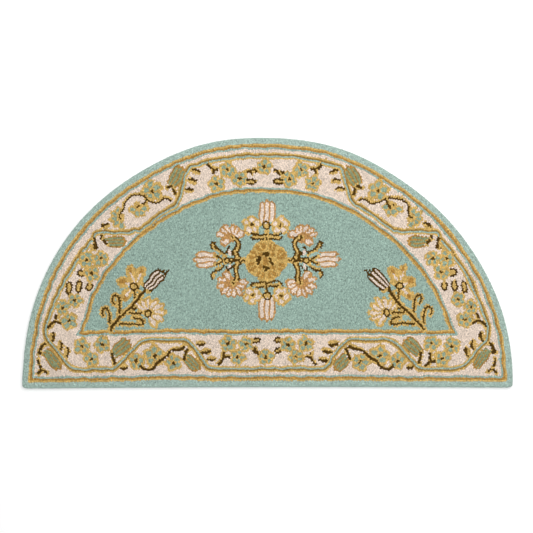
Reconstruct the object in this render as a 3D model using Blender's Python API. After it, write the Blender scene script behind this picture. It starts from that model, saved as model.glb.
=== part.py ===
"""Half round hearth rug: one hand-tufted rug that lies flat, its straight edge along the hearth.

The rug is one solid. Its plan is a half ellipse with two rounded corners, whose rim stands a few
millimetres in or out of the true curve, as a hand-made rim does. The pile rolls over at the edge, so the
upper edge is rounded far more than the lower one. Metres, +Z up. The straight edge looks along -Y, and the
origin is under the middle of the rug's box, on the floor.
"""

import math

import bmesh
import bpy

# Driving sizes
RUG_WIDTH = 1.118
RUG_DEPTH = 0.571
RUG_THICKNESS = 0.012
CORNER_RADIUS = 0.013
PILE_ROLL = 0.005
GROUND_ROUND = 0.001

# The straight edge bows in towards the rug's middle by this much between its two corners.
HEARTH_EDGE_BOW = 0.0022

# How far the rim stands out from the true half ellipse, in rows of angle in degrees and distance in
# millimetres. Angles run from the right-hand corner, at 0, over the crown of the rug, at 90, to the
# left-hand corner, at 180.
RIM_UNEVENNESS = (
    (0, 1.0),
    (15, 3.4),
    (30, 1.4),
    (45, -1.1),
    (57, -2.8),
    (72, 1.0),
    (90, 0.0),
    (104, 4.4),
    (120, 3.6),
    (140, 7.3),
    (157, 4.9),
    (174, -1.6),
    (180, -1.2),
)

# How finely the curves are drawn
RIM_STEPS = 180
EDGE_STEPS = 36
CORNER_STEPS = 5
PILE_ROLL_STEPS = 4
GROUND_ROUND_STEPS = 1

# A side edge that turns more than this is a corner of the plan, and one that turns less is its curve.
CORNER_TURN_DEG = 45
SHADED_SHARP_DEG = 50

SAGE_WOOL = (0.29, 0.46, 0.38, 1.0)
WOOL_ROUGHNESS = 0.95

MM_PER_METRE = 1000
HEIGHT_TOLERANCE = 0.000001


def clear_scene():
    for old in list(bpy.data.objects):
        bpy.data.objects.remove(old)


def rim_unevenness(angle_deg):
    """The rim's distance out from the true half ellipse, in metres, on a smooth curve through the table."""
    rows = RIM_UNEVENNESS
    span = next(i for i in range(len(rows) - 1) if angle_deg <= rows[i + 1][0])
    (angle_a, out_a), (angle_b, out_b) = rows[span], rows[span + 1]
    before, after = rows[max(span - 1, 0)], rows[min(span + 2, len(rows) - 1)]
    slope_a = (out_b - before[1]) / (angle_b - before[0])
    slope_b = (after[1] - out_a) / (after[0] - angle_a)
    width = angle_b - angle_a
    t = (angle_deg - angle_a) / width
    out_mm = (
        (1 + 2 * t) * (1 - t) ** 2 * out_a
        + t * (1 - t) ** 2 * width * slope_a
        + t * t * (3 - 2 * t) * out_b
        + t * t * (t - 1) * width * slope_b
    )
    return out_mm / MM_PER_METRE


def rim_point(angle_deg):
    """A point of the curved rim, measured from the middle of the straight edge."""
    angle = math.radians(angle_deg)
    across = RUG_WIDTH / 2
    ellipse_radius = across * RUG_DEPTH / math.hypot(RUG_DEPTH * math.cos(angle), across * math.sin(angle))
    radius = ellipse_radius + rim_unevenness(angle_deg)
    return radius * math.cos(angle), radius * math.sin(angle)


def hearth_edge_point(share):
    """A point of the straight edge, from its left end at share 0 to its right end at share 1."""
    left, right = rim_point(180)[0], rim_point(0)[0]
    along = 2 * share - 1
    return left + (right - left) * share, HEARTH_EDGE_BOW * (1 - along * along)


def rug_plan():
    """The rug's outline, anticlockwise from the right-hand corner, centred on its own box."""
    rim = [rim_point(180 * i / RIM_STEPS) for i in range(RIM_STEPS + 1)]
    edge = [hearth_edge_point(i / EDGE_STEPS) for i in range(1, EDGE_STEPS)]
    outline = rim + edge
    middle_x = (min(x for x, y in outline) + max(x for x, y in outline)) / 2
    middle_y = (min(y for x, y in outline) + max(y for x, y in outline)) / 2
    return [(x - middle_x, y - middle_y) for x, y in outline]


def round_corners(mesh):
    """Rounds the two upright edges where the rim meets the straight edge."""
    uprights = [e for e in mesh.edges if abs(e.verts[0].co.z - e.verts[1].co.z) > RUG_THICKNESS / 2]
    corners = [e for e in uprights if e.calc_face_angle() > math.radians(CORNER_TURN_DEG)]
    bmesh.ops.bevel(
        mesh,
        geom=corners,
        offset=CORNER_RADIUS,
        segments=CORNER_STEPS,
        profile=0.5,
        affect="EDGES",
        material=-1,
    )


def round_rim(mesh, height, radius, steps):
    """Rounds the edge that runs all round the rug at this height."""
    around = [e for e in mesh.edges if all(abs(v.co.z - height) < HEIGHT_TOLERANCE for v in e.verts)]
    bmesh.ops.bevel(
        mesh,
        geom=around,
        offset=radius,
        segments=steps,
        profile=0.5,
        affect="EDGES",
        material=-1,
    )


def wool_material():
    wool = bpy.data.materials.new("sage wool pile")
    wool.use_nodes = True
    shader = wool.node_tree.nodes["Principled BSDF"]
    shader.inputs["Base Color"].default_value = SAGE_WOOL
    shader.inputs["Roughness"].default_value = WOOL_ROUGHNESS
    shader.inputs["Metallic"].default_value = 0.0
    return wool


def build_rug(collection):
    mesh = bmesh.new()
    plan = mesh.faces.new([mesh.verts.new((x, y, 0.0)) for x, y in rug_plan()])
    raised = bmesh.ops.extrude_face_region(mesh, geom=[plan])["geom"]
    for part in raised:
        if isinstance(part, bmesh.types.BMVert):
            part.co.z = RUG_THICKNESS
    bmesh.ops.recalc_face_normals(mesh, faces=mesh.faces)
    round_corners(mesh)
    round_rim(mesh, RUG_THICKNESS, PILE_ROLL, PILE_ROLL_STEPS)
    round_rim(mesh, 0.0, GROUND_ROUND, GROUND_ROUND_STEPS)
    bmesh.ops.recalc_face_normals(mesh, faces=mesh.faces)

    data = bpy.data.meshes.new("rug")
    mesh.to_mesh(data)
    mesh.free()
    data.materials.append(wool_material())
    rug = bpy.data.objects.new("rug", data)
    collection.objects.link(rug)
    data.shade_smooth()
    data.set_sharp_from_angle(angle=math.radians(SHADED_SHARP_DEG))
    return rug


def main():
    clear_scene()
    collection = bpy.data.collections.new("half round hearth rug")
    bpy.context.scene.collection.children.link(collection)
    build_rug(collection)


main()
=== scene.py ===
"""Half round hearth rug: cut wool pile in a traditional floral design, on a canvas backing, lying flat.

The design is charted in millimetres. u runs along the straight edge from the rug's middle, and v runs up
from that edge towards the crown. The chart is a stack of layers, each a row of tufts along a line or a patch
of one yarn, and later layers cover earlier ones. Every tuft is then a small domed cell of the pile's
surface, dyed with the yarn that the chart gives there. At the rim the pile rolls over and runs down to the
floor.
"""

import math

import bmesh
import bpy
import numpy as np
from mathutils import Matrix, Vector
from mathutils.geometry import delaunay_2d_cdt
from mathutils.kdtree import KDTree

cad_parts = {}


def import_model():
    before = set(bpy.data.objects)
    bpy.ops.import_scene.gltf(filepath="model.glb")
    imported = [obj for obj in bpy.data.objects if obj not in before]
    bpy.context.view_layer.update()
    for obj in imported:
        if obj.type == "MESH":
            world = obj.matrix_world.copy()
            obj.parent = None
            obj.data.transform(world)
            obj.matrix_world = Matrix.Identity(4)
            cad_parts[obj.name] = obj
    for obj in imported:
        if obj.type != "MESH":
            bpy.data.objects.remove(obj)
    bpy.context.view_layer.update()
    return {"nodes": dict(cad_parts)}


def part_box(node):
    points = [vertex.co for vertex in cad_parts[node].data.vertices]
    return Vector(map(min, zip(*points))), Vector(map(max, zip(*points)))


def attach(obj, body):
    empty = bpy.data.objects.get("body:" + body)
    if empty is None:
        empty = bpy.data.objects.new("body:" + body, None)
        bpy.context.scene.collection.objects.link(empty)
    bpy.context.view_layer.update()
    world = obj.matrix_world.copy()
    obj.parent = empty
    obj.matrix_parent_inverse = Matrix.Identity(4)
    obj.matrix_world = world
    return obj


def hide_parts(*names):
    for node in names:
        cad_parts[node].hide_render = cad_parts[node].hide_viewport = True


MM = 0.001

# The pile, in millimetres
TUFT_PITCH = 3.35
PITCHES_ACROSS = 0.8
PITCHES_FRONT_TO_BACK = 1.16
ROW_PITCH = 3.2
RAGGED_ROW_PITCH = 2.8
ROW_JITTER = 0.25
ROW_TO_ROW_LEAST = 2.15
ROW_CLEARANCE = 3.9
GAP_CLEARANCE = 2.9
GAP_SEARCH_STEP = 1.2
TUFT_JITTER = 0.35
PATCH_RAGGEDNESS = 0.6
PILE_ROLL = 5.0
VALLEY_DEPTH = 1.3
VALLEY_DEPTH_SPREAD = 0.15
CROWN_DEPTH = 0.5
SHOULDER_DEPTH = 0.35
SHOULDER_SHARE = 0.6
SHOULDER_HEIGHT_SHARE = 0.75
TUFT_LEAN = 0.45
TUFT_HEIGHT_SPREAD = 0.22
TUFT_HEIGHT_LIMIT = 0.5
TUFT_TONE_LIMIT = 2.2
DARK_TUFT_SHARE = 0.035
DARK_TUFT_DROP = 2.0
PILE_FOOT = 0.9
BACKING_INSET = 3.0
# The field's pile is cut in three blocks at this distance from its middle.
FIELD_CUT = 120.0

# Drawn lines: how far their tufts step to either side, and where a second row or a twig's gold runs
THIN_ZIGZAG = 0.8
THICK_ZIGZAG = 0.3
THICK_ROW_OFFSET = 1.25
TWIG_GOLD_OFFSET = 3.9
TWIG_GOLD_WIDTH = 2.9

# The whole design wanders a little, but for the rim, as hand-guided rows do.
WOBBLE_REACH = 0.55
WOBBLE_WAVELENGTHS = (24.0, 31.0, 44.0, 58.0, 83.0)
WOBBLE_FROM_DEPTH = 8.0
WOBBLE_FADE = 10.0

# Where the three runs of random numbers start
CHART_SEED = 3
PILE_SEED = 7
WOBBLE_SEED = 11

# The chart's place in the rug's box
CHART_LEFT_SHIFT = 1.1

# The border, in millimetres in from the curved rim and up from the straight edge
RIM_ROWS = (1.8, 5.4, 9.0, 12.6)
ROLLED_ROWS = (-1.8, -5.3, -8.7, -12.2, -15.6)
BORDER_STRIPES = (
    # yarn, depth from the curved rim, height above the straight edge
    ("gold", 16.8, 17.4),
    ("ochre", 21.0, 21.7),
    ("sage", 25.2, 26.2),
    ("sage", 115.6, 121.4),
    ("ochre", 119.8, 125.6),
    ("gold", 124.0, 129.8),
)
BORDER_START = (27.2, 28.2)
FIELD_START = (117.0, 123.0)

# The stripes along the straight edge wander from a true line, in rows of u and distance.
HEARTH_EDGE_BOW = 2.2
STRIPE_WANDER = (
    (-540, 0.0), (-420, -0.9), (-330, 0.6), (-240, 3.0), (-150, 1.0), (-60, 0.2), (60, 0.9), (240, 0.3),
    (400, -1.2), (540, 0.0),
)

# The field's frame runs into its lower corners straighter than the rim does: height, and how much deeper
# from the rim the frame stands there.
FRAME_WANDER = ((100, -3.0), (122, -2.0), (135, 1.5), (155, 4.0), (175, 3.5), (205, 0.5), (240, 0.0))
FRAME_WANDER_FROM_DEPTH = 100.0

# The left half mirrors the right about a line that leans to the left towards the crown.
MIRROR_LEAN = -4.5
LEAN_FROM_V = 360.0
LEAN_TO_V = 450.0

# The wool's textures: their scale, how many times as long front to back as wide, and how far they shade.
# A relief is its strength and its depth in metres.
FIBRE_FINENESS = 660.0
FIBRE_STRETCH = 2.2
BRUSH_FINENESS = 22.0
BRUSH_STRETCH = 2.5
BRUSH_SPREAD = 0.1
TUFT_TONE_SCALE = 2.0
# How dark the pile is painted at the foot of each tuft: painted shade down between the tufts, none at the
# crown.
VALLEY_SHADE = 0.74
FUZZ_FINENESS = 1500.0
FUZZ_RELIEF = (0.5, 0.0005)

# What each finish sets on its shader's own sockets
WHITE = (1.0, 1.0, 1.0, 1.0)
WOOL_SURFACE = {"Roughness": 0.92, "Specular IOR Level": 0.15, "Sheen Weight": 0.25, "Sheen Roughness": 0.45}
CANVAS_SURFACE = {"Roughness": 0.9, "Specular IOR Level": 0.2}
FLOOR_SURFACE = {
    "Base Color": (0.93, 0.93, 0.93, 1.0),
    "Roughness": 1.0,
    "Specular IOR Level": 0.0,
    "Emission Color": WHITE,
    "Emission Strength": 0.22,
}
CANVAS_COLOUR = (205, 190, 160)
CANVAS_THREADS = {"Scale": 160.0, "Distortion": 0.6, "Detail Scale": 4.0}
CANVAS_BLOTCH = 60.0
# How dark the canvas is painted in the hollows between its threads: painted shade
THREAD_SHADE = 0.7
THREAD_RELIEF = (0.6, 0.0004)

# The studio, in metres and watts
SOFTBOX_PLACE = (0.42, 0.7, 1.8)
SOFTBOX_SIZE = 1.8
SOFTBOX_POWER = 27.0
ROOM_LIGHT = 0.55
FLOOR_HALF_WIDTH = 6.0
FLOOR_HEIGHT = -0.0002

# Dyes, as sRGB, and a lighter sage for the outer band whose extra lightness is painted sheen
YARNS = {
    # name: dye, how far tufts differ in tone, how far fibre ends do
    "sage": ((158, 184, 172), 0.08, 0.85),
    # The outer band's sage: the sage made lighter, as painted sheen
    "sage_painted_sheen": ((174, 197, 186), 0.08, 0.75),
    "dull_sage": ((153, 173, 150), 0.14, 0.7),
    "moss": ((145, 155, 117), 0.16, 0.7),
    "cream": ((236, 217, 200), 0.08, 0.7),
    "gold": ((214, 177, 103), 0.18, 0.8),
    "ochre": ((182, 138, 68), 0.2, 0.8),
    "bronze": ((158, 124, 60), 0.22, 0.8),
    "olive": ((82, 57, 5), 0.35, 0.8),
    "camel": ((194, 146, 88), 0.18, 0.8),
}
YARN_NAMES = list(YARNS)
NOT_YET_DYED = -1
# The outer band's ground, in the lighter sage that paints the band's sheen
OUTER_BAND_PAINTED_SHEEN_SAGE = "sage_painted_sheen"


def unit(vectors):
    return vectors / np.maximum(np.linalg.norm(vectors, axis=-1, keepdims=True), 1e-9)


def left_normals(path, closed=False):
    """Unit vectors to the left of the path's direction at each point."""
    if closed:
        along = np.roll(path, -1, axis=0) - np.roll(path, 1, axis=0)
    else:
        along = np.gradient(path, axis=0)
    return unit(np.stack([-along[:, 1], along[:, 0]], axis=1))


def resample(path, pitch, closed=False):
    """Points along the path at an even pitch."""
    path = np.asarray(path, float)
    if closed:
        path = np.vstack([path, path[:1]])
    lengths = np.r_[0.0, np.cumsum(np.linalg.norm(np.diff(path, axis=0), axis=1))]
    count = max(1, round(lengths[-1] / pitch))
    shift = 0.0 if closed else 0.5
    at = (np.arange(count) + shift) * lengths[-1] / count
    return np.stack([np.interp(at, lengths, path[:, axis]) for axis in (0, 1)], axis=1)


def soften(path, closed=False, cut=5.0, rounds=3):
    """Cuts the path's corners again and again until they are round."""
    path = np.asarray(path, float)
    for _ in range(rounds):
        after = np.roll(path, -1, axis=0) if closed else path[1:]
        before = path if closed else path[:-1]
        span = after - before
        length = np.linalg.norm(span, axis=1, keepdims=True)
        step = unit(span) * np.minimum(length / 4, cut)
        pairs = np.stack([before + step, after - step], axis=1).reshape(-1, 2)
        path = pairs if closed else np.vstack([path[:1], pairs[1:-1], path[-1:]])
        cut /= 2
    return path


def tree_of(points):
    """A search tree of the flat points."""
    tree = KDTree(len(points))
    for index, (u, v) in enumerate(points):
        tree.insert((u, v, 0.0), index)
    tree.balance()
    return tree


class Line:
    """A path, open or closed, that distances are measured from. Its own points lie close together."""

    def __init__(self, path, closed=False):
        self.path = np.asarray(path, float)
        self.closed = closed
        self.tree = tree_of(self.path.tolist())

    def nearest(self, points):
        """The nearest place on the line to each point, and its distance, positive on the line's left."""
        closest = np.array([self.tree.find((u, v, 0.0))[1] for u, v in points.tolist()], int)
        count = len(self.path)
        best_place = self.path[closest]
        best_gap = np.full(len(points), np.inf)
        best_side = np.ones(len(points))
        for step in (-1, 0):
            first = closest + step
            first = first % count if self.closed else first.clip(0, count - 2)
            start = self.path[first]
            span = self.path[(first + 1) % count] - start
            away = points - start
            square = np.maximum((span * span).sum(axis=1), 1e-12)
            share = ((away * span).sum(axis=1) / square).clip(0.0, 1.0)
            gap = away - share[:, None] * span
            length = np.linalg.norm(gap, axis=1)
            side = np.where(span[:, 0] * gap[:, 1] - span[:, 1] * gap[:, 0] >= 0, 1.0, -1.0)
            better = length < best_gap
            best_gap = np.where(better, length, best_gap)
            best_side = np.where(better, side, best_side)
            best_place = np.where(better[:, None], points - gap, best_place)
        return best_place, best_gap * best_side

    def within(self, points, width):
        """Whether each point lies nearer to the line than this."""
        low, high = self.path.min(axis=0) - width, self.path.max(axis=0) + width
        near = ((points > low) & (points < high)).all(axis=1)
        near[near] = np.abs(self.nearest(points[near])[1]) < width
        return near


class Rug:
    """The rug's outline in the chart's millimetres, and the ways to measure from it."""

    def __init__(self, node):
        low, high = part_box("rug")
        self.thickness = (high[2] - low[2]) / MM
        self.chart_zero = np.array([(low[0] + high[0]) / 2 / MM - CHART_LEFT_SHIFT, low[1] / MM])
        points = np.array([node.matrix_world @ v.co for v in node.data.vertices]) / MM
        wall = points[(points[:, 2] > 0.5) & (points[:, 2] < self.thickness / 2)][:, :2] - self.chart_zero
        wall = np.unique(wall.round(3), axis=0)
        angle = np.arctan2(*(wall - wall.mean(axis=0)).T[::-1])
        self.outline = resample(wall[np.argsort(angle)], 2.0, closed=True)
        self.outline_line = Line(self.outline, closed=True)
        self.curved_rim = self._curved_rim()
        self.curved_rim_line = Line(self.curved_rim)

    def _curved_rim(self):
        """The outline without its straight edge, run on straight down past both corners."""
        above_corners, wide_gap = 16.0, 100.0
        rim = self.outline[self.outline[:, 1] > above_corners]
        start = np.argmax(np.linalg.norm(np.diff(rim, axis=0), axis=1)) + 1
        rim = np.roll(rim, -start, axis=0) if np.linalg.norm(rim[0] - rim[-1]) < wide_gap else rim
        below = np.array([0.0, -60.0])
        return resample(np.vstack([rim[:1] + below, rim, rim[-1:] + below]), 2.0)

    def rim_depth(self, points):
        """How far inside the rug's outline each point lies."""
        return self.outline_line.nearest(points)[1]

    def arc_depth(self, points):
        """How far inside the curved rim each point lies, whatever the straight edge does."""
        return self.curved_rim_line.nearest(points)[1]

    def hearth_line(self, u):
        """The height of the straight edge at u, with its bow and the wander of the stripes along it."""
        half = self.outline[:, 0].max()
        return HEARTH_EDGE_BOW * (1 - (u / half) ** 2) + from_table(STRIPE_WANDER, u)

    def inside(self, points, depth, height):
        """Whether each point lies past this depth from the curved rim and this height from the edge."""
        u, v = points.T
        past_arc = self.arc_depth(points) > depth + frame_wander(depth, v)
        return past_arc & (v > self.hearth_line(u) + height)

    def stripe_path(self, depth, height):
        """The closed line at this depth from the curved rim and this height above the straight edge."""
        rim = resample(self.curved_rim, 1.5)
        arc = rim + left_normals(rim) * depth
        arc = arc + left_normals(rim) * frame_wander(depth, arc[:, 1])[:, None]
        arc = arc[self.arc_depth(arc) > depth + frame_wander(depth, arc[:, 1]) - 0.6]
        arc = arc[arc[:, 1] > self.hearth_line(arc[:, 0]) + height]
        u = np.arange(arc[-1, 0], arc[0, 0], 1.5)
        return np.vstack([arc, np.stack([u, self.hearth_line(u) + height], axis=1)])

    def rim_path(self, depth):
        """The closed line at this depth inside the outline, with its round corners."""
        return self.outline + left_normals(self.outline, True) * depth

    def settle(self, points, sink):
        """Carries chart points on to the rug's form, sunk this far into its surface, in metres.

        Past the start of the roll a point's distance out is laid along the rolled rim and down its side.
        """
        rim, depth = self.outline_line.nearest(points)
        inward = unit(points - rim) * np.sign(depth)[:, None]
        past = np.maximum(PILE_ROLL - depth, 0.0)
        turn = np.minimum(past / PILE_ROLL, math.pi / 2)
        down = (past - PILE_ROLL * math.pi / 2).clip(0.0, self.thickness - PILE_ROLL - PILE_FOOT)
        inset = PILE_ROLL - (PILE_ROLL - sink) * np.sin(turn)
        height = self.thickness - PILE_ROLL + (PILE_ROLL - sink) * np.cos(turn) - down
        rolled = np.column_stack([rim + inward * inset[:, None], height])
        level = np.column_stack([points, self.thickness - sink])
        placed = np.where((depth < PILE_ROLL)[:, None], rolled, level)
        placed[:, :2] += self.chart_zero
        return placed * MM


def from_table(table, at):
    """The table's second column, read between its rows at each value of the first."""
    return np.interp(at, *zip(*table))


def frame_wander(depth, v):
    """How much deeper than its set depth the frame's curved line stands at each height."""
    if depth < FRAME_WANDER_FROM_DEPTH:
        return np.zeros_like(v)
    return from_table(FRAME_WANDER, v)


def mirror(points):
    """The chart's left-hand partner of each right-hand point, and the other way round."""
    points = np.asarray(points, float)
    share = np.clip((points[:, 1] - LEAN_FROM_V) / (LEAN_TO_V - LEAN_FROM_V), 0.0, 1.0)
    return np.column_stack([2 * MIRROR_LEAN * share - points[:, 0], points[:, 1]])


class Chart:
    """The design's layers, from the ground up. While mirrored is set, what is drawn lands on the left."""

    def __init__(self):
        self.layers = []
        self.mirrored = False
        self.random = np.random.default_rng(CHART_SEED)

    def row(self, path, yarn, closed=False, zigzag=0.25):
        """One row of tufts along a line, its tufts stepping a little to either side."""
        path = mirror(path) if self.mirrored else np.asarray(path, float)
        path = resample(path, RAGGED_ROW_PITCH if zigzag > 0.5 else ROW_PITCH, closed)
        step = np.where(np.arange(len(path)) % 2, zigzag, -zigzag)
        step = step + self.random.normal(0, ROW_JITTER, len(path))
        if len(path) > 1:
            path = path + left_normals(path, closed) * step[:, None]
        self.layers.append(("row", path, yarn))

    def patch(self, covers, yarn):
        """Everything that covers(points) says, in one yarn."""
        seen = (lambda points: covers(mirror(points))) if self.mirrored else covers
        self.layers.append(("patch", seen, yarn))

    def halo(self, path, yarn, width):
        """A band of one yarn, this far to each side of a path."""
        line = Line(resample(path, 1.0))
        self.patch(lambda points: line.within(points, width), yarn)

    def oval(self, centre, half_length, half_width, heading, yarn):
        self.patch(lambda points: in_oval(points, centre, half_length, half_width, heading), yarn)

    def stroke(self, path, yarn="olive", thick=False):
        """A drawn line of ragged edge, and if thick of two rows side by side."""
        path = resample(soften(path, cut=2.5), 1.0)
        if not thick or len(path) < 3:
            self.row(path, yarn, zigzag=THIN_ZIGZAG)
            return
        for side in (-THICK_ROW_OFFSET, THICK_ROW_OFFSET):
            self.row(path + left_normals(path) * side, yarn, zigzag=THICK_ZIGZAG)


def direction(heading):
    return np.array([math.cos(math.radians(heading)), math.sin(math.radians(heading))])


def in_oval(points, centre, half_length, half_width, heading):
    along = direction(heading)
    away = points - np.asarray(centre, float)
    x = (away @ along) / half_length
    y = (away @ np.array([-along[1], along[0]])) / half_width
    return x * x + y * y < 1.0


def dab(chart, centre, length, heading, yarn="olive"):
    """A short straight stroke."""
    centre = np.array(centre)
    half = direction(heading) * length / 2
    chart.stroke([centre - half, centre, centre + half], yarn)


def radius_at(radii, degrees):
    """A round shape's radius at each angle, from its radii at even angles."""
    return np.interp(degrees, np.arange(len(radii)) * 360 / len(radii), radii, period=360)


def in_round(points, centre, radii):
    """Whether each point lies inside a round shape."""
    away = points - centre
    angle = np.degrees(np.arctan2(away[:, 1], away[:, 0]))
    return np.linalg.norm(away, axis=1) < radius_at(radii, angle)


def round_path(centre, radii):
    """The outline of a round shape."""
    degrees = np.arange(0, 360, 6)
    spokes = np.stack([np.cos(np.radians(degrees)), np.sin(np.radians(degrees))], axis=1)
    return np.asarray(centre, float) + spokes * radius_at(radii, degrees)[:, None]


def lay_petals(chart, centre, petals, yarn, share=1.0, narrow=1.0):
    """An oval for each petal, given as heading, distance of its middle, half length and half width."""
    for heading, reach, half_length, half_width in petals:
        middle = np.array(centre, float) + direction(heading) * reach
        chart.oval(middle, half_length * share, half_width * share * narrow, heading, yarn)


def flower(chart, centre, petals, edge, inner, share, narrow=1.0):
    """Petals of the edge yarn, each with a smaller oval of the inner yarn in it."""
    lay_petals(chart, centre, petals, edge)
    lay_petals(chart, centre, petals, inner, share, narrow)


def blossom(chart, u, v, radius, turn, petal_yarn="dull_sage", share=0.48, heart=0.0):
    """A round five-petalled flower, no two alike, with an olive eye."""
    vary = chart.random.uniform(0.9, 1.12, (5, 3))
    petals = [
        (turn + 72 * k + 40 * (a - 1), 0.55 * radius, 0.51 * radius * b, 0.49 * radius * c)
        for k, (a, b, c) in enumerate(vary)
    ]
    chart.oval((u, v), radius * 0.6, radius * 0.6, 0, "gold")
    flower(chart, (u, v), petals, "gold", petal_yarn, share)
    if heart:
        chart.oval((u, v), heart, heart, 0, "gold")
    chart.oval((u, v), 4.4, 3.4, turn * 3, "olive")
    dab(chart, (u, v), 6.5, turn * 3)


def fan(chart, eye, headings, reach):
    """A half-open flower whose petals spread to one side of its eye."""
    petals = [(heading, reach * 0.58, reach * 0.43, reach * 0.32) for heading in headings]
    chart.oval(eye, reach * 0.42, reach * 0.42, 0, "gold")
    flower(chart, eye, petals, "gold", "dull_sage", 0.5)
    dab(chart, eye, 7, headings[0])


def striped_bud(chart, base, tip, width, edge, stripe, stripe_rows, base_share, tip_share, side_drop=0.07):
    """A closed tulip: three long petals side by side, each a stripe between two lines of the edge yarn.

    The shares are its width at the base and the tip, and how much lower its side petals end.
    """
    stripe_end, edge_end, tip_start = 0.93, 0.86, 0.87
    base, tip = np.array(base, float), np.array(tip, float)
    axis = tip - base
    across = np.array([-axis[1], axis[0]]) / np.linalg.norm(axis)
    rows = 3 * stripe_rows + 4
    middle = (rows - 1) / 2

    def at(t, row):
        place = (row - middle) / middle
        swell = base_share + (1 - base_share) * math.sin(min(t / 0.5, 1.0) * math.pi / 2)
        taper = 1 - (1 - tip_share) * max((t - 0.5) / 0.5, 0.0) ** 2
        return base + axis * t + across * place * swell * taper * width / 2

    for row in range(rows):
        is_edge = row % (stripe_rows + 1) == 0
        place = abs(row - middle) / middle
        end = (edge_end if is_edge else stripe_end) - side_drop * place
        path = [at(t, row) for t in np.linspace(0.0, end, 12)]
        chart.row(path, edge if is_edge else stripe)
    for petal in range(3):
        left = petal * (stripe_rows + 1)
        right = left + stripe_rows + 1
        low = side_drop * abs(petal - 1)
        peak = at(1.0 - low, (left + right) / 2)
        chart.row([at(tip_start - low, left), peak, at(tip_start - low, right)], edge)


def gold_leaf(chart, u, v, length, heading, side):
    """A small gold leaf with a thick olive vein along one side."""
    out = direction(heading + 90 * side)
    along = direction(heading)
    middle = np.array([u, v], float)
    chart.oval(middle + out * 1.8, length * 0.54, length * 0.31, heading, "gold")
    chart.oval(middle - out * 1.6, length * 0.34, 3.6, heading, "olive")
    half = along * length * 0.44
    lift = out * 0.6
    chart.stroke([middle - half + lift, middle - out, middle + half + lift])


def outlined_leaf(chart, u, v, length, width, heading, open_base):
    """A gold leaf with an olive outline, left open by this angle to each side of its base."""
    centre = np.array([u, v], float)
    angles = np.radians(np.linspace(-180 + open_base, 180 - open_base, 40))
    along = np.outer(np.cos(angles) * (length / 2 - 2), direction(heading))
    across = np.outer(np.sin(angles) * (width / 2 - 1.6), direction(heading + 90))
    chart.oval(centre, length / 2, width / 2, heading, "gold")
    chart.row(centre + along + across, "olive", closed=open_base == 0, zigzag=0.7)


def branch(chart, path, gold_side, thick=False):
    """An olive twig with a row of gold along one side."""
    path = resample(soften(path), 1.0)
    chart.halo(path + left_normals(path) * TWIG_GOLD_OFFSET * gold_side, "gold", TWIG_GOLD_WIDTH)
    chart.stroke(path, "olive", thick)


def edged_stem(chart, path, spacing):
    """A gold stem between two olive lines."""
    path = resample(soften(path), 1.0)
    chart.halo(path, "gold", spacing)
    for side in (-spacing, spacing):
        chart.row(path + left_normals(path) * side, "olive", zigzag=0.6)
    chart.row(path, "gold")


def haloed_line(chart, path, width=5.8):
    """An olive line with gold all round it."""
    chart.halo(soften(path), "gold", width)
    chart.stroke(path)


def ring(chart, centre, radius, height=None):
    """A round calyx: an olive ring filled with gold."""
    height = height or radius
    chart.oval(centre, radius, height, 0, "gold")
    chart.row(round_path(centre, [radius, height] * 2), "olive", closed=True, zigzag=0.5)


# The border. Blossoms, on both halves and then in the middle: u, v, radius, turn
BORDER_BLOSSOMS = (
    (88, 102, 20, 20), (47, 101, 18.5, 0), (66, 72, 19, 40), (213, 60, 21, 70), (256, 76, 24, 10),
    (296, 62, 20, 15), (374, 101, 19, 0), (420, 97, 20, 30), (399, 68, 19.5, 0), (450, 155, 20, 0),
    (464, 184, 18, 20), (435, 201, 18, 45), (398, 264, 20.5, 0), (407, 293, 20.5, 30),
    (377, 295, 19, 10), (252, 450, 25, 5), (105, 466, 20, 0), (79, 497, 19, 30), (51, 476, 20, 50),
)
# Half-open blossoms that hang off the long branches: eye, petal headings, reach of the petals
BORDER_FANS = (
    ((286, 414), (-168, -120, -72, -22), 26), ((330, 388), (78, 34, -8, -50, -94), 26),
)
MIDDLE_BLOSSOMS = (
    (-5, 504, 19, 10), (-2, 72, 19.5, 20),
)
# Striped tulips of the border: base, tip, width, share of the width at the tip
BORDER_TULIPS = (
    ((187, 75), (152, 41), 25, 0.5),
    ((348, 79), (312, 112), 28, 0.9),
    ((505, 87), (468, 45), 22, 0.55),
    ((367, 333), (319, 334), 24, 0.7),
    ((207, 461), (182, 505), 29, 0.65),
)
# Gold leaves with an olive vein: u, v, length, heading, side of the gold
GOLD_LEAVES = (
    (151, 101, 25, 4, 1), (139, 83, 25, -6, 1), (127, 65, 22, 0, 1), (486, 118, 25, -76, 1),
    (468, 98, 25, -86, 1), (454, 83, 25, -82, 1), (152, 494, 23, 12, -1), (159, 474, 23, 8, -1),
    (167, 454, 22, 2, -1), (366, 372, 24, -32, -1), (325, 47, 20, 4, 1),
)
# Olive-outlined leaves: u, v, length, width, heading, open angle at the base
OUTLINED_LEAVES = (
    (404, 232, 24, 15, -82, 45), (426, 233, 29, 15, -84, 30), (449, 230, 30, 16, -80, 0),
    (423, 263, 20, 18, 0, 50), (25, 110, 22, 13, 182, 50), (26, 86, 17, 15, 215, 30),
    (27, 470, 30, 14, 180, 40),
)
# Olive strokes where a tulip joins its stem
CALYX_STROKES = (
    ((179, 92), (184, 80), (190, 66)), ((352, 83), (350, 70), (344, 61), (346, 55)),
    ((503, 104), (510, 99), (514, 89), (518, 81), (511, 80)),
    ((519, 68), (517, 52), (510, 44), (500, 38)), ((513, 45), (521, 34)),
    ((375, 350), (375, 340), (368, 335)), ((372, 339), (363, 327)),
    ((205, 461), (202, 452), (198, 440)), ((204, 461), (218, 455)),
)
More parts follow.
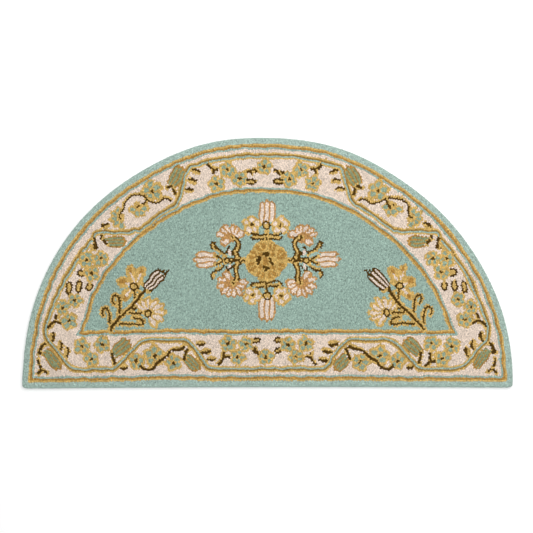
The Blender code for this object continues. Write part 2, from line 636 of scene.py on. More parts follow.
# Twigs: side of the gold, then the points
TWIGS = (
    (1, (184, 96), (195, 89), (215, 88), (223, 80), (231, 71), (241, 65), (250, 60), (253, 50), (260, 44),
     (271, 43), (281, 45), (288, 54)),
    (-1, (478, 171), (480, 160), (484, 151), (491, 148), (498, 137)),
    (1, (466, 148), (483, 152)),
    (1, (98, 83), (97, 71), (103, 61), (111, 53)),
    (1, (84, 71), (97, 71)),
    (-1, (126, 510), (119, 501), (110, 498), (99, 497)),
    (1, (111, 497), (113, 487)),
    (1, (391, 345), (390, 332), (384, 316)),
    (1, (391, 330), (396, 316)),
    (1, (390, 330), (390, 316)),
)
# Twigs and long branches that differ from left to right, in the same columns
LONE_TWIGS = (
    (1, (371, 81), (370, 65), (366, 56), (356, 51)),
    (1, (369, 61), (384, 63)),
    (-1, (15, 496), (25, 495), (33, 492), (41, 490)),
    (1, (24, 493), (31, 483)),
    (1, (-46, 492), (-38, 495), (-27, 496), (-23, 490)),
    (1, (-36, 494), (-36, 484)),
    (1, (-31, 92), (-26, 92), (-26, 84), (-19, 84), (-21, 77)),
)
LONG_BRANCHES = (
    (1, (208, 426), (215, 430), (226, 429), (234, 422), (245, 419), (257, 421), (266, 430), (280, 432),
     (300, 430), (313, 425), (321, 417), (321, 402), (325, 391), (332, 386)),
    (1, (268, 429), (275, 418), (284, 408)),
    (-1, (-217, 427), (-224, 433), (-235, 432), (-245, 425), (-257, 422), (-268, 426), (-274, 432),
     (-281, 440), (-298, 439), (-309, 435), (-319, 425), (-325, 410), (-332, 397), (-335, 390)),
    (1, (-271, 428), (-283, 419)),
)

# The ribbon that winds through the border: right-hand points of its middle row, in three stretches
RIBBON_HEARTH = (
    (0, 45), (129, 45), (137, 51), (150, 72), (165, 92), (180, 106), (190, 111), (279, 111), (292, 103),
    (311, 82), (330, 61), (343, 48), (353, 44), (437, 44), (452, 54), (470, 76), (488, 98), (499, 110),
    (503, 122),
)
RIBBON_STEP = ((390, 353), (379, 356), (306, 355), (297, 360))
RIBBON_RISE = ((190, 434), (183, 458), (177, 482), (169, 503))
# Its legs along the rim: depth, least and most u, least and most v
RIBBON_OUTER_LEG = (42.0, 0, 600, 138, 344)
RIBBON_INNER_LEG = (103.5, 200, 290, 200, 600)
RIBBON_CROWN_LEG = (42.0, 4, 155, 400, 600)
# Its rows: yarn, and how far inwards from the middle row
RIBBON_ROWS = (("gold", -5.9), ("bronze", -2.6), ("sage", 1.0), ("gold", 4.8))


def rim_leg(rug, depth, u_from, u_to, v_from, v_to):
    """The part of the line at this depth from the curved rim that lies in this window."""
    rim = resample(rug.curved_rim, 3.0)
    line = rim + left_normals(rim) * depth
    u, v = line.T
    return line[(u > u_from) & (u < u_to) & (v > v_from) & (v < v_to)]


def ribbon_half(rug):
    """The ribbon's middle row, from the middle of the straight edge round to the crown."""
    outer = rim_leg(rug, *RIBBON_OUTER_LEG)
    inner = rim_leg(rug, *RIBBON_INNER_LEG)
    crown = rim_leg(rug, *RIBBON_CROWN_LEG)
    return np.vstack([RIBBON_HEARTH, outer, RIBBON_STEP, inner, RIBBON_RISE, crown])


def draw_ribbon(chart, rug):
    right = ribbon_half(rug)
    left = mirror(right[1:])[::-1]
    middle = resample(soften(np.vstack([right, left]), closed=True, cut=6.0), 1.5, closed=True)
    inward = left_normals(middle, True)
    line = Line(middle, closed=True)
    for yarn, offset in RIBBON_ROWS:
        path = middle + inward * offset
        if offset:
            path = path[np.abs(line.nearest(path)[1]) > abs(offset) - 0.3]
        chart.row(path, yarn, closed=True)


def draw_ground(chart, rug):
    """The outer band, the cream border and the field, with the stripes between them."""
    chart.patch(lambda points: rug.inside(points, *BORDER_START), "cream")
    chart.patch(lambda points: rug.inside(points, *FIELD_START), "sage")
    for yarn, depth, height in BORDER_STRIPES:
        chart.row(rug.stripe_path(depth, height), yarn, closed=True)
    # The rim rows, in the outer band's sage lightened as painted sheen
    for depth in RIM_ROWS + ROLLED_ROWS:
        chart.row(rug.rim_path(depth), OUTER_BAND_PAINTED_SHEEN_SAGE, closed=True)


def draw_border(chart):
    """The sprays of the border, first on its right-hand half."""
    for left in (False, True):
        chart.mirrored = left
        for row in BORDER_BLOSSOMS:
            blossom(chart, *row)
        for eye, headings, reach in BORDER_FANS:
            fan(chart, eye, headings, reach)
        for base, tip, width, tip_share in BORDER_TULIPS:
            striped_bud(chart, base, tip, width, "ochre", "moss", 2, 0.7, tip_share)
        for path in CALYX_STROKES:
            chart.halo(path, "gold", 5.0)
            chart.stroke(path, thick=True)
        for row in GOLD_LEAVES:
            gold_leaf(chart, *row)
        for row in OUTLINED_LEAVES:
            outlined_leaf(chart, *row)
        for gold_side, *path in TWIGS:
            branch(chart, path, gold_side, thick=True)
    chart.mirrored = False
    for row in MIDDLE_BLOSSOMS:
        blossom(chart, *row)
    for gold_side, *path in LONG_BRANCHES:
        branch(chart, path, gold_side)
    for gold_side, *path in LONE_TWIGS:
        branch(chart, path, gold_side, thick=True)


# The rosette in the medallion's middle: its centre, its radius at even angles from the right, and its strokes
ROSETTE = (-0.5, 290)
ROSETTE_RADII = (49, 49, 47, 43, 47, 47, 46.5, 46, 41, 46, 48, 48, 46, 42, 46, 47, 47, 45, 38, 46)
ROSETTE_STROKES = (
    ((-9, 308), (-5, 304), (0, 302), (5, 304), (7, 307)), ((0.5, 304), (0.5, 311)),
    ((-20, 302), (-16, 296), (-17, 290), (-19, 285), (-22, 282)), ((-25, 291), (-17, 291)),
    ((10, 296), (9, 289), (12, 284), (18, 283)), ((-9, 276), (-2, 275), (7, 271)),
    ((-2, 274), (-2, 267)),
)


def draw_rosette(chart):
    """A gold rosette with two rings of ochre petals and a few olive strokes."""
    centre = np.array(ROSETTE)
    chart.patch(lambda points: in_round(points, centre, ROSETTE_RADII), "gold")
    chart.row(centre + (round_path(centre, ROSETTE_RADII) - centre) * 0.965, "gold", closed=True)
    for petal in range(8):
        heading = 22.5 + 45 * petal
        middle = centre + direction(heading) * 35
        chart.oval(middle, 9.0, 10.0, heading, "ochre")
        dab(chart, middle, 13, heading, "gold")
    for petal in range(4):
        heading = 45 + 90 * petal
        chart.oval(centre + direction(heading) * 20, 6.5, 4.5, heading + 30, "ochre")
    chart.oval(centre + np.array([-3, -2]), 7, 11, 0, "ochre")
    for path in ROSETTE_STROKES:
        chart.stroke(path, thick=True)


# Leaves that spread from the medallion's poles, right-hand side: yarn, then the points
POLE_LEAVES = (
    ("gold", (4, 345), (33, 345)),
    ("olive", (4, 350), (18, 349), (30, 349.5), (37, 354)),
    ("olive", (5, 340), (18, 339), (30, 340), (37, 346)),
    ("gold", (5, 236), (33, 236)),
    ("olive", (4, 242), (16, 243), (30, 242), (37, 238), (38, 231)),
    ("olive", (4, 232.5), (16, 231.5), (27, 232)),
)


def draw_medallion_poles(chart):
    """The tulips above and below the medallion, with their rings, leaves and blossoms."""
    chart.halo([(0, 336), (0, 362)], "gold", 5.0)
    chart.stroke([(0, 338), (0, 351)])
    chart.halo([(0, 244), (0, 220)], "gold", 5.0)
    chart.stroke([(0, 244), (0, 220)])
    striped_bud(chart, (0, 376), (1, 429), 35, "camel", "cream", 2, 0.72, 0.95)
    ring(chart, (0, 371), 8.0)
    dab(chart, (0, 376), 3.5, 90, "cream")
    striped_bud(chart, (0, 207), (1, 152), 36, "camel", "cream", 2, 0.75, 0.85)
    ring(chart, (-0.5, 210), 8.2)
    dab(chart, (0, 205), 3.5, 90, "cream")
    for u, v in ((-34, 371), (31, 371), (-33, 211), (33.5, 211)):
        blossom(chart, u, v, 21.5, 18 if v > ROSETTE[1] else -18, "cream", 0.5, 8.0)
    for left in (True, False):
        chart.mirrored = left
        for yarn, *path in POLE_LEAVES:
            if yarn == "gold":
                chart.halo(path, yarn, 3.8)
            else:
                chart.stroke(path)


# What grows out of the medallion's right-hand side; the left-hand side mirrors it.
SIDE_STEMS = (
    ((62, 294), (68, 301), (71, 310), (67, 318), (64, 326), (65, 334), (71, 340), (79, 343)),
    ((62, 289), (67, 281), (70, 272), (71, 264), (69, 254), (70, 244)),
)
# Hooked leaves: the gold line, then the olive line beside it
SIDE_HOOKS = (
    (((92, 300), (104, 310), (113, 317), (119, 323), (120, 331)),
     ((94, 307), (103, 313), (110, 318), (116, 323), (118, 332), (124, 334), (125, 325), (123, 317))),
    (((94, 285), (105, 276), (113, 271), (119, 266), (123, 259), (121, 252)),
     ((97, 279), (105, 272), (112, 266), (119, 268), (126, 263), (127, 256), (121, 249))),
)
SIDE_STROKES = (
    ((75, 316), (76, 303)), ((78, 314), (79, 303)), ((83, 322), (90, 319), (91, 308)),
    ((76, 280), (82, 273), (86, 268)), ((93, 278), (91, 270), (87, 266)), ((40, 291), (58, 291)),
    ((58, 297), (66, 291), (74, 288), (82, 290)), ((58, 285), (66, 291), (76, 296), (83, 298)),
    ((98, 292), (104, 292)), ((100, 292), (107, 298), (116, 302)), ((100, 291), (107, 286), (116, 282)),
)
CARNATIONS = (
    # base, petals as heading, distance of the petal's middle, half length, half width
    ((78, 343), ((157, 19, 14, 11), (118, 17, 11, 7), (92, 19, 13, 8), (62, 21, 14, 8.5), (36, 23, 13, 8),
                 (14, 27, 11, 7), (-30, 19, 13, 10.5))),
    ((77, 240), ((50, 21, 13.5, 10), (14, 24, 13, 7.5), (-14, 26, 12, 7.5), (-42, 23, 14, 8),
                 (-70, 21, 14, 8.5), (-98, 20, 14, 8.5), (-128, 21, 14, 9), (-158, 20, 12, 7),
                 (-184, 22, 13, 8.5))),
)


def carnation(chart, base, petals):
    """A fan of cream petals with camel edges and camel lines between them."""
    chart.oval(base, 15, 12, 0, "camel")
    flower(chart, base, petals, "camel", "cream", 0.64, 0.8)
    for (heading, *_), (following, *_) in zip(petals, petals[1:]):
        between = (heading + following) / 2
        if heading - following < 60:
            dab(chart, np.array(base) + direction(between) * 19, 13, between, "camel")


def draw_medallion_side(chart):
    """The tulip, carnations, hooks and leaflets at one side of the medallion."""
    striped_bud(chart, (116, 293), (167, 293), 34, "camel", "cream", 2, 0.85, 1.0, 0.12)
    for base, petals in CARNATIONS:
        carnation(chart, base, petals)
    for path in SIDE_STEMS:
        edged_stem(chart, path, 4.6)
    for base, _ in CARNATIONS:
        chart.oval(base, 7.0, 6.0, 20, "gold")
        dab(chart, base, 6, 70)
    for gold_path, olive_path in SIDE_HOOKS:
        chart.halo(soften(gold_path), "gold", 3.6)
        chart.stroke(olive_path)
    chart.halo([(50, 291), (104, 291.5)], "gold", 6.5)
    chart.halo([(118, 303), (100, 292), (118, 281)], "gold", 4.6)
    for path in SIDE_STROKES:
        chart.stroke(path)
    chart.oval((84.5, 309), 8, 4, 75, "cream")
    chart.oval((85, 277), 8, 3.6, -66, "cream")
    ring(chart, (89, 292), 6.4)


# The spray in the field's right-hand corner, which the left-hand one mirrors. Petals are given as heading,
# distance of the petal's middle, half length and half width.
SPRAY_STEM = (
    (357, 132), (348, 147), (340, 155), (332, 163), (322, 173), (315, 180), (305, 190), (295, 200),
    (285, 213), (278, 222), (277, 233),
)
SPRAY_HOOKS = (
    ((335, 171), (335, 188), (334, 203), (340, 211), (348, 213), (352, 205), (351, 197), (345, 192)),
    ((357, 148), (356, 165), (359, 180), (366, 185), (374, 182), (375, 172), (371, 166)),
    ((338, 147), (310, 147), (284, 145), (279, 150), (286, 160), (303, 161)),
)
SPRAY_FAN_STEM = ((314, 172), (300, 172), (284, 172))
LILY = (302, 232)
LILY_PETALS = (
    (22, 26, 15, 13.5), (78, 33, 19, 11), (116, 33, 19, 13), (-45, 25, 17.5, 11.5), (145, 15, 12, 10),
    (50, 17, 12, 10), (98, 17, 12, 12), (185, 16, 11, 11),
)
# Markings in the lily: yarn, centre, half length, half width, heading
LILY_MARKS = (
    ("ochre", (327, 244), 9, 7, 25), ("ochre", (310, 271), 8, 3.6, 82),
    ("ochre", (286, 266), 8, 4, 100), ("ochre", (322, 209), 8, 3.6, -75),
    ("cream", (315, 237), 6, 2.8, 20), ("cream", (306, 254), 12, 2.6, 66),
    ("cream", (291, 251), 13, 2.6, 118), ("cream", (315, 218), 9, 2.8, -50),
    ("sage", (284, 230), 5, 6, 0),
)
FAN_FLOWER = (271, 171)
FAN_PETALS = (
    (38, 24, 15, 7.5), (66, 23, 15, 8), (95, 24, 16, 8.5), (124, 27, 16, 8.5), (150, 28, 16, 8.5),
    (176, 28, 16, 8.5), (204, 26, 15, 8.5), (236, 22, 16, 9.5),
)
SPRAY_BUD = ((273, 229), (233, 269), 27)


def draw_lily(chart):
    """A gold lily seen open, with ochre hearts and cream throats to its petals."""
    lay_petals(chart, LILY, LILY_PETALS, "gold")
    for yarn, centre, half_length, half_width, heading in LILY_MARKS:
        chart.oval(centre, half_length, half_width, heading, yarn)
    chart.halo([(300, 224), (299, 206)], "gold", 5.0)
    chart.stroke([(300, 225), (298, 215), (300, 205)])
    ring(chart, LILY, 8.0, 6.4)
    dab(chart, (292.5, 231), 7, 90)


def draw_fan_flower(chart):
    """A half-open flower of cream petals with gold edges."""
    inner = [(turn, reach * 0.92, length * 0.76, width * 0.42) for turn, reach, length, width in FAN_PETALS]
    chart.oval((262, 179), 22, 18, 140, "gold")
    lay_petals(chart, FAN_FLOWER, FAN_PETALS, "gold")
    lay_petals(chart, FAN_FLOWER, inner, "cream")


def draw_corner_spray(chart):
    """One corner of the field: a leaning stem with a bud, a lily, a fan flower and three hooked leaves."""
    chart.halo(SPRAY_STEM[:-2], "gold", 8.0)
    chart.oval((270, 226), 11, 8, 60, "gold")
    draw_fan_flower(chart)
    draw_lily(chart)
    for path in SPRAY_HOOKS:
        haloed_line(chart, path)
    chart.oval((290, 153), 8, 5, 20, "gold")
    haloed_line(chart, SPRAY_FAN_STEM, 6.0)
    ring(chart, FAN_FLOWER, 6.0, 8.5)
    dab(chart, (301, 181.5), 9, 0)
    chart.stroke(SPRAY_STEM, thick=True)
    base, tip, width = SPRAY_BUD
    striped_bud(chart, base, tip, width, "olive", "cream", 1, 0.6, 1.0)
    dab(chart, (260, 224), 7, -20)
    chart.stroke([(236, 254), (230, 264), (221, 271)])
    chart.stroke([(233, 262), (240, 269), (250, 273)])


def draw_field(chart):
    """The medallion and the two corner sprays."""
    for left in (False, True):
        chart.mirrored = left
        draw_medallion_side(chart)
        draw_corner_spray(chart)
    chart.mirrored = False
    draw_rosette(chart)
    draw_medallion_poles(chart)


def draw_chart(rug):
    chart = Chart()
    draw_ground(chart, rug)
    draw_ribbon(chart, rug)
    draw_border(chart)
    draw_field(chart)
    return chart


def covered_later(points, layers):
    """Whether a later patch covers each point."""
    covered = np.zeros(len(points), bool)
    for kind, shape, _ in layers:
        if kind == "patch":
            covered |= shape(points)
    return covered


class Tufts:
    """Tuft centres, kept apart from each other, with the yarn of each. A cell holds a place's neighbours."""

    def __init__(self, cell):
        self.cell = cell
        self.points = []
        self.yarns = []
        self.grid = {}

    def cell_of(self, point):
        return int(point[0] // self.cell), int(point[1] // self.cell)

    def is_clear(self, point, least):
        column, line = self.cell_of(point)
        for i in (column - 1, column, column + 1):
            for j in (line - 1, line, line + 1):
                if any(math.dist(point, other) < least for other in self.grid.get((i, j), ())):
                    return False
        return True

    def add(self, point, yarn):
        point = (float(point[0]), float(point[1]))
        self.grid.setdefault(self.cell_of(point), []).append(point)
        self.points.append(point)
        self.yarns.append(yarn)


def plant_rows(chart):
    """Tufts of the charted rows, the topmost layer first, so that it wins where rows meet."""
    tufts = Tufts(cell=ROW_CLEARANCE)
    for index in reversed(range(len(chart.layers))):
        kind, path, yarn = chart.layers[index]
        if kind != "row":
            continue
        for point in path[~covered_later(path, chart.layers[index + 1 :])]:
            if tufts.is_clear(point, ROW_TO_ROW_LEAST):
                tufts.add(point, YARN_NAMES.index(yarn))
    return tufts


def grid_over(rug, across, front_to_back):
    """Places all over the rug's box, as upright columns of them."""
    low, high = rug.outline.min(axis=0), rug.outline.max(axis=0)
    steps = np.arange(low[0], high[0], across), np.arange(low[1], high[1], front_to_back)
    return np.stack(np.meshgrid(*steps, indexing="ij"), axis=-1)


def ground_lattice(rug, random):
    """Places for the ground's tufts, in upright columns, a little uneven."""
    across, front_to_back = TUFT_PITCH * PITCHES_ACROSS, TUFT_PITCH * PITCHES_FRONT_TO_BACK
    places = grid_over(rug, across, front_to_back)
    places[1::2, :, 1] += front_to_back / 2
    places = places.reshape(-1, 2)
    places += random.normal(0.0, TUFT_JITTER, places.shape)
    return places[rug.rim_depth(places) > RIM_ROWS[-1]]


def clear_of(tufts, places, least):
    """The places that stand clear of every tuft planted so far."""
    tree = tree_of(tufts.points)
    return [place for place in places if tree.find((place[0], place[1], 0.0))[2] > least]


def fill_gaps(tufts, rug):
    """Closes the holes left between rows and lattice."""
    places = grid_over(rug, GAP_SEARCH_STEP, GAP_SEARCH_STEP).reshape(-1, 2)
    places = np.array(clear_of(tufts, places, GAP_CLEARANCE))
    for place in places[rug.rim_depth(places) > RIM_ROWS[-1]]:
        if tufts.is_clear(place, GAP_CLEARANCE):
            tufts.add(place, NOT_YET_DYED)


def even_out(points, fixed, rounds=2):
    """Moves each free tuft half way to the middle of its neighbours."""
    for _ in range(rounds):
        triangles = triangulate(points)
        sides = np.vstack([triangles[:, [0, 1]], triangles[:, [1, 2]], triangles[:, [2, 0]]])
        total = np.zeros_like(points)
        count = np.zeros(len(points))
        for end, other in (sides.T, sides.T[::-1]):
            np.add.at(total, end, points[other])
            np.add.at(count, end, 1)
        middle = total / np.maximum(count, 1)[:, None]
        points = np.where(fixed[:, None], points, (points + middle) / 2)
    return points


def triangulate(points):
    found = delaunay_2d_cdt([Vector(p) for p in points.tolist()], [], [], 0, 1e-5, False)
    return np.array([face for face in found[2] if len(face) == 3])


def plant_tufts(chart, rug, random):
    """All the tufts of the pile: their places and their yarns."""
    tufts = plant_rows(chart)
    planted = len(tufts.points)
    for point in clear_of(tufts, ground_lattice(rug, random), ROW_CLEARANCE):
        tufts.add(point, NOT_YET_DYED)
    fill_gaps(tufts, rug)
    fixed = np.arange(len(tufts.points)) < planted
    points = even_out(np.array(tufts.points), fixed)
    yarns = np.array(tufts.yarns)
    free = np.flatnonzero(~fixed)
    # The ground starts as the outer band's sage, lightened as painted sheen, until the patches dye it.
    yarns[free] = YARN_NAMES.index(OUTER_BAND_PAINTED_SHEEN_SAGE)
    ragged = points[free] + random.normal(0.0, PATCH_RAGGEDNESS, (len(free), 2))
    for kind, shape, yarn in chart.layers:
        if kind == "patch":
            yarns[free[shape(ragged)]] = YARN_NAMES.index(yarn)
    settled = ((rug.rim_depth(points) - WOBBLE_FROM_DEPTH) / WOBBLE_FADE).clip(0.0, 1.0)
    return points + wobble(points) * settled[:, None], yarns


def wobble(points):
    """How far the design's slow wandering moves each point."""
    waves = np.random.default_rng(WOBBLE_SEED)
    moved = np.zeros_like(points)
    for wavelength in WOBBLE_WAVELENGTHS:
        for axis in (0, 1):
            heading = waves.uniform(0, 2 * math.pi)
            along = points @ np.array([math.cos(heading), math.sin(heading)])
            moved[:, axis] += np.sin(along * 2 * math.pi / wavelength + waves.uniform(0, 2 * math.pi))
    return moved * WOBBLE_REACH


def cells_round_tufts(points):
    """The corners of the cells, and for each tuft the run of its corners in order round it.

    A corner is the middle of a triangle of neighbouring tufts. Returns the corner places, the tuft of each
    corner's use and the corner used, sorted by tuft and then by angle.
    """
    triangles = triangulate(points)
    corners = points[triangles].mean(axis=1)
    tuft = triangles.ravel()
    corner = np.repeat(np.arange(len(triangles)), 3)
    away = corners[corner] - points[tuft]
    order = np.lexsort((np.arctan2(away[:, 1], away[:, 0]), tuft))
    return corners, tuft[order], corner[order]


class Pile:
    """Every cell of the pile as plain arrays, from which the blocks are cut."""

    def __init__(self, rug, points, yarns, random):
        self.rug = rug
        self.points = points
        self.yarns = yarns
        self.corners, self.tuft, self.corner = cells_round_tufts(points)
        count = len(points)
        self.tone = random.normal(0.0, 1.0, count).clip(-TUFT_TONE_LIMIT, TUFT_TONE_LIMIT)
        self.tone[random.random(count) < DARK_TUFT_SHARE] -= DARK_TUFT_DROP
        self.rise = random.normal(0.0, TUFT_HEIGHT_SPREAD, count)
        self.rise = self.rise.clip(-TUFT_HEIGHT_LIMIT, TUFT_HEIGHT_LIMIT)
        angle = random.uniform(0, 2 * math.pi, count)
        self.lean = np.stack([np.cos(angle), np.sin(angle)], axis=1)
        self.lean *= random.uniform(0, TUFT_LEAN, (count, 1))
        self.corner_dip = random.normal(0.0, VALLEY_DEPTH_SPREAD, len(self.corners))

    def block(self, name, chosen):
        """One block of the pile as a closed mesh: its tufts' domed cells, side walls and a flat foot."""
        uses = np.flatnonzero(chosen[self.tuft])
        tuft, corner = self.tuft[uses], self.corner[uses]
        used_tufts, tuft_index = np.unique(tuft, return_inverse=True)
        used_corners, corner_index = np.unique(corner, return_inverse=True)
        starts = np.r_[0, np.flatnonzero(np.diff(tuft)) + 1]
        ends = np.r_[starts[1:], len(tuft)]
        following = np.arange(len(tuft)) + 1
        following[ends - 1] = starts

        centre = self.points[used_tufts] + self.lean[used_tufts]
        rise = self.rise[used_tufts]
        rim = self.corners[used_corners]
        shoulder = centre[tuft_index] + (rim[corner_index] - centre[tuft_index]) * SHOULDER_SHARE
        places = np.vstack([rim, shoulder, centre])
        sink = np.r_[
            VALLEY_DEPTH + self.corner_dip[used_corners],
            CROWN_DEPTH + SHOULDER_DEPTH - rise[tuft_index],
            CROWN_DEPTH - rise,
        ]
        # How high each point stands in its tuft; the wool reads it to paint shade down between the tufts.
        heights = np.repeat([0.0, SHOULDER_HEIGHT_SHARE, 1.0], [len(rim), len(shoulder), len(centre)])

        first_shoulder, first_centre = len(rim), len(rim) + len(shoulder)
        own = first_shoulder + np.arange(len(tuft))
        bands = np.stack([corner_index, corner_index[following], first_shoulder + following, own], axis=1)
        tops = np.stack([own, first_shoulder + following, first_centre + tuft_index], axis=1)
        mesh = bpy.data.meshes.new(name)
        mesh.from_pydata(self.rug.settle(places, sink).tolist(), [], bands.tolist() + tops.tolist())
        mesh.polygons.foreach_set("material_index", np.tile(self.yarns[tuft], 2).astype(np.int32))
        set_numbers(mesh, "tuft_tone", "FACE", np.tile(self.tone[tuft], 2))
        set_numbers(mesh, "pile_height", "POINT", heights)
        lay_uv(mesh, places)
        close_block(mesh)
        mesh.shade_smooth()
        return mesh


def set_numbers(mesh, name, domain, values):
    attribute = mesh.attributes.new(name, "FLOAT", domain)
    attribute.data.foreach_set("value", np.asarray(values, np.float32))


def lay_uv(mesh, places):
    """Maps the block from above, its rolled rim laid out flat, into the square from its lower left corner,
    scaled by its longer side.
    """
    low = places.min(axis=0)
    size = max((places.max(axis=0) - low).max(), 1.0)
    layer = mesh.uv_layers.new(name="OFBake")
    vertex = np.empty(len(mesh.loops), np.int32)
    mesh.loops.foreach_get("vertex_index", vertex)
    margin = 0.01
    uv = margin + (1 - 2 * margin) * (places[vertex] - low) / size
    layer.data.foreach_set("uv", uv.astype(np.float32).ravel())


def set_height(parts, height):
    """Puts the vertices among these parts at this height, in millimetres."""
    for part in parts:
        if isinstance(part, bmesh.types.BMVert):
            part.co.z = height * MM


def close_block(mesh):
    """Drops walls from the block's open edge to its foot and closes the foot."""
    work = bmesh.new()
    work.from_mesh(mesh)
    border = [edge for edge in work.edges if edge.is_boundary]
    made = bmesh.ops.extrude_edge_only(work, edges=border)["geom"]
    set_height(made, PILE_FOOT)
    low_edges = [part for part in made if isinstance(part, bmesh.types.BMEdge) and part.is_boundary]
    bmesh.ops.triangle_fill(work, use_beauty=False, edges=low_edges, normal=Vector((0, 0, -1)))
    work.to_mesh(mesh)
    work.free()


def srgb_to_linear(colour):
    """A dye given as sRGB from 0 to 255, as the light it reflects."""
    shares = [channel / 255 for channel in colour]
    return tuple(c / 12.92 if c <= 0.04045 else ((c + 0.055) / 1.055) ** 2.4 for c in shares) + (1.0,)


def set_inputs(node, values):
    for name, value in values.items():
        node.inputs[name].default_value = value


def add_node(tree, kind, values, links):
    """A node with its constants set and its other inputs linked, both by the inputs' names."""
    node = tree.nodes.new(kind)
    set_inputs(node, values)
    for name, socket in links.items():
        tree.links.new(socket, node.inputs[name])
    return node


def scaled(tree, socket, low, high, from_low=0.0, from_high=1.0):
    """The socket's value mapped from one range to another."""
    limits = {"From Min": from_low, "From Max": from_high, "To Min": low, "To Max": high}
    return add_node(tree, "ShaderNodeMapRange", limits, {"Value": socket}).outputs["Result"]


def multiplied(tree, product, *factors):
    for factor in factors:
        node = tree.nodes.new("ShaderNodeMath")
        node.operation = "MULTIPLY"
        tree.links.new(product, node.inputs[0])
        tree.links.new(factor, node.inputs[1])
        product = node.outputs["Value"]
    return product


def attribute_value(tree, name):
    node = tree.nodes.new("ShaderNodeAttribute")
    node.attribute_name = name
    return node.outputs["Fac"]


def noise(tree, coordinates, scale, detail):
    values = {"Scale": scale, "Detail": detail, "Roughness": 0.6}
    return add_node(tree, "ShaderNodeTexNoise", values, {"Vector": coordinates}).outputs["Fac"]


def stretched(tree, coordinates, stretch):
    """Coordinates that draw a texture out along the rug's depth."""
    values = {"Scale": (1.0, 1.0 / stretch, 1.0)}
    return add_node(tree, "ShaderNodeMapping", values, {"Vector": coordinates}).outputs["Vector"]


def new_material(name, surface):
    """A material with its surface's constants on the shader's own sockets, and its node tree."""
    material = bpy.data.materials.new(name)
    material.use_nodes = True
    set_inputs(material.node_tree.nodes["Principled BSDF"], surface)
    return material, material.node_tree


def colour_and_relief(tree, colour, value, height, strength, depth):
    """Gives the shader a colour, made lighter or darker by value, and a fine relief from height."""
    shader = tree.nodes["Principled BSDF"]
    hue = add_node(tree, "ShaderNodeHueSaturation", {"Color": srgb_to_linear(colour)}, {"Value": value})
    bump = add_node(tree, "ShaderNodeBump", {"Strength": strength, "Distance": depth}, {"Height": height})
    tree.links.new(hue.outputs["Color"], shader.inputs["Base Color"])
    tree.links.new(bump.outputs["Normal"], shader.inputs["Normal"])


def wool(name, dye, tone_spread, fibre_spread):
    """Cut wool pile: each tuft its own tone, fine fibre ends, and painted shade that darkens it down between
    the tufts.
    """
    material, tree = new_material(f"{name} wool pile", WOOL_SURFACE)
    place = tree.nodes.new("ShaderNodeTexCoord").outputs["Object"]
    tone = attribute_value(tree, "tuft_tone")
    tone = scaled(tree, tone, 1 - tone_spread, 1 + tone_spread, -TUFT_TONE_SCALE, TUFT_TONE_SCALE)
    # Painted shade: darker towards the foot of each tuft.
    shade = scaled(tree, attribute_value(tree, "pile_height"), VALLEY_SHADE, 1.0)
    fibres = noise(tree, stretched(tree, place, FIBRE_STRETCH), FIBRE_FINENESS, 0.0)
    fibres = scaled(tree, fibres, 1 - fibre_spread, 1 + fibre_spread)
    brushed = noise(tree, stretched(tree, place, BRUSH_STRETCH), BRUSH_FINENESS, 3.0)
    brushed = scaled(tree, brushed, 1 - BRUSH_SPREAD, 1 + BRUSH_SPREAD)
    value = multiplied(tree, tone, shade, fibres, brushed)
    colour_and_relief(tree, dye, value, noise(tree, place, FUZZ_FINENESS, 3.0), *FUZZ_RELIEF)
    return material


def canvas_material():
    """Plain woven canvas: over-and-under threads, a little uneven."""
    material, tree = new_material("canvas backing", CANVAS_SURFACE)
    place = tree.nodes.new("ShaderNodeTexCoord").outputs["Object"]
    threads = []
    # The weave darkens the canvas in the hollows between threads, as painted shade.
    for axis in ("X", "Y"):
        wave = add_node(tree, "ShaderNodeTexWave", CANVAS_THREADS, {"Vector": place})
        wave.bands_direction = axis
        threads.append(scaled(tree, wave.outputs["Fac"], THREAD_SHADE, 1.0))
    weave = multiplied(tree, *threads)
    blotch = scaled(tree, noise(tree, place, CANVAS_BLOTCH, 3.0), 0.9, 1.1)
    colour_and_relief(tree, CANVAS_COLOUR, multiplied(tree, weave, blotch), weave, *THREAD_RELIEF)
    return material


def build_pile(rug, random):
    """The pile as six blocks: the outer band, the border's halves and the field's three parts."""
    points, yarns = plant_tufts(draw_chart(rug), rug, random)
    pile = Pile(rug, points, yarns, random)
    meshed = rug.rim_depth(points) > ROLLED_ROWS[2] - 1.0
    in_field = rug.inside(points, *FIELD_START)
    in_border = rug.inside(points, *BORDER_START) & ~in_field
    u = points[:, 0]
    blocks = {
        "outer_band_pile": meshed & ~in_border & ~in_field,
        "border_pile_left": meshed & in_border & (u <= 0),
        "border_pile_right": meshed & in_border & (u > 0),
        "field_pile_left": in_field & (u < -FIELD_CUT),
        "field_pile_middle": in_field & (np.abs(u) <= FIELD_CUT),
        "field_pile_right": in_field & (u > FIELD_CUT),
    }
    materials = [wool(name, *look) for name, look in YARNS.items()]
    pieces = []
    for name, chosen in blocks.items():
        mesh = pile.block(name, chosen)
        for material in materials:
            mesh.materials.append(material)
        pieces.append(show(name, mesh))
    return pieces


def build_backing(rug):
    """The canvas under the pile, cut a little inside the rim."""
    outline = resample(rug.rim_path(BACKING_INSET), 6.0, closed=True) + rug.chart_zero
    work = bmesh.new()
    sole = work.faces.new([work.verts.new((u * MM, v * MM, 0.0)) for u, v in outline])
    set_height(bmesh.ops.extrude_face_region(work, geom=[sole])["geom"], PILE_FOOT)
    bmesh.ops.recalc_face_normals(work, faces=work.faces)
    return show("canvas_backing", finished(work, "canvas_backing", canvas_material()))


def finished(work, name, material):
    """The mesh that the bmesh has become, in its material."""
    mesh = bpy.data.meshes.new(name)
    work.to_mesh(mesh)
    work.free()
    mesh.materials.append(material)
    return mesh


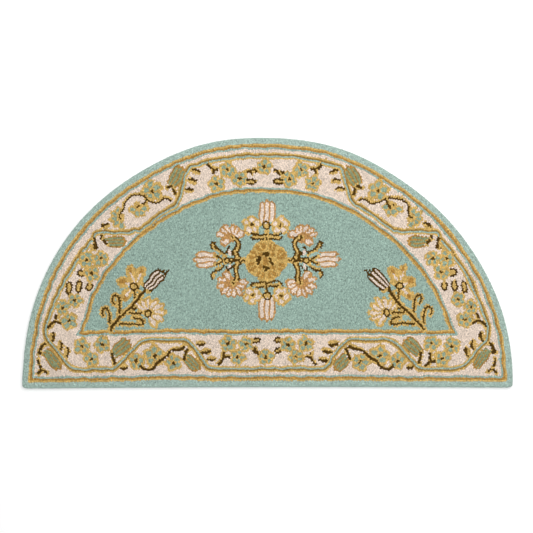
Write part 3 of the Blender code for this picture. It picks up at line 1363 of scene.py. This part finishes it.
def show(name, data):
    """Puts a mesh, a lamp or a camera in the scene."""
    shown = bpy.data.objects.new(name, data)
    bpy.context.scene.collection.objects.link(shown)
    return shown


def build_floor():
    """A plain pale floor that reaches well past the rug."""
    work = bmesh.new()
    bmesh.ops.create_grid(work, x_segments=1, y_segments=1, size=FLOOR_HALF_WIDTH)
    material, _ = new_material("pale floor", FLOOR_SURFACE)
    floor = show("floor", finished(work, "floor", material))
    floor.location.z = FLOOR_HEIGHT


def build_lights():
    """Soft light from all round, with a broad lamp overhead, a little to the right and behind."""
    world = bpy.data.worlds.new("studio")
    world.use_nodes = True
    set_inputs(world.node_tree.nodes["Background"], {"Color": WHITE, "Strength": ROOM_LIGHT})
    bpy.context.scene.world = world
    lamp = bpy.data.lights.new("softbox", "AREA")
    lamp.shape = "SQUARE"
    lamp.size = SOFTBOX_SIZE
    lamp.energy = SOFTBOX_POWER
    softbox = show("softbox", lamp)
    softbox.location = SOFTBOX_PLACE
    softbox.rotation_euler = (-softbox.location).to_track_quat("-Z", "Y").to_euler()
    bpy.context.scene.view_settings.view_transform = "Standard"


# The camera looks straight down. The rug's top is this wide across the whole picture, whose middle lies at
# this place of the chart, and the straight edge slopes by this angle.
PICTURE_WIDTH = 1210.2
PICTURE_MIDDLE = (-0.6, 277.3)
PICTURE_SLOPE_DEG = 0.1136
LENS_MM = 85.0
SENSOR_MM = 36.0


def build_camera(rug):
    data = bpy.data.cameras.new("camera")
    data.lens = LENS_MM
    data.sensor_width = SENSOR_MM
    camera = show("camera", data)
    above = PICTURE_WIDTH * LENS_MM / SENSOR_MM
    x, y = (np.array(PICTURE_MIDDLE) + rug.chart_zero) * MM
    camera.location = (x, y, (above + rug.thickness) * MM)
    camera.rotation_euler = (0.0, 0.0, -math.radians(PICTURE_SLOPE_DEG))
    bpy.context.scene.camera = camera


def main():
    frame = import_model()
    rug = Rug(frame["nodes"]["rug"])
    random = np.random.default_rng(PILE_SEED)
    build_camera(rug)
    build_lights()
    build_floor()
    pile = build_pile(rug, random)
    backing = build_backing(rug)
    for piece in pile + [backing]:
        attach(piece, "root")
        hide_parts("rug")


main()
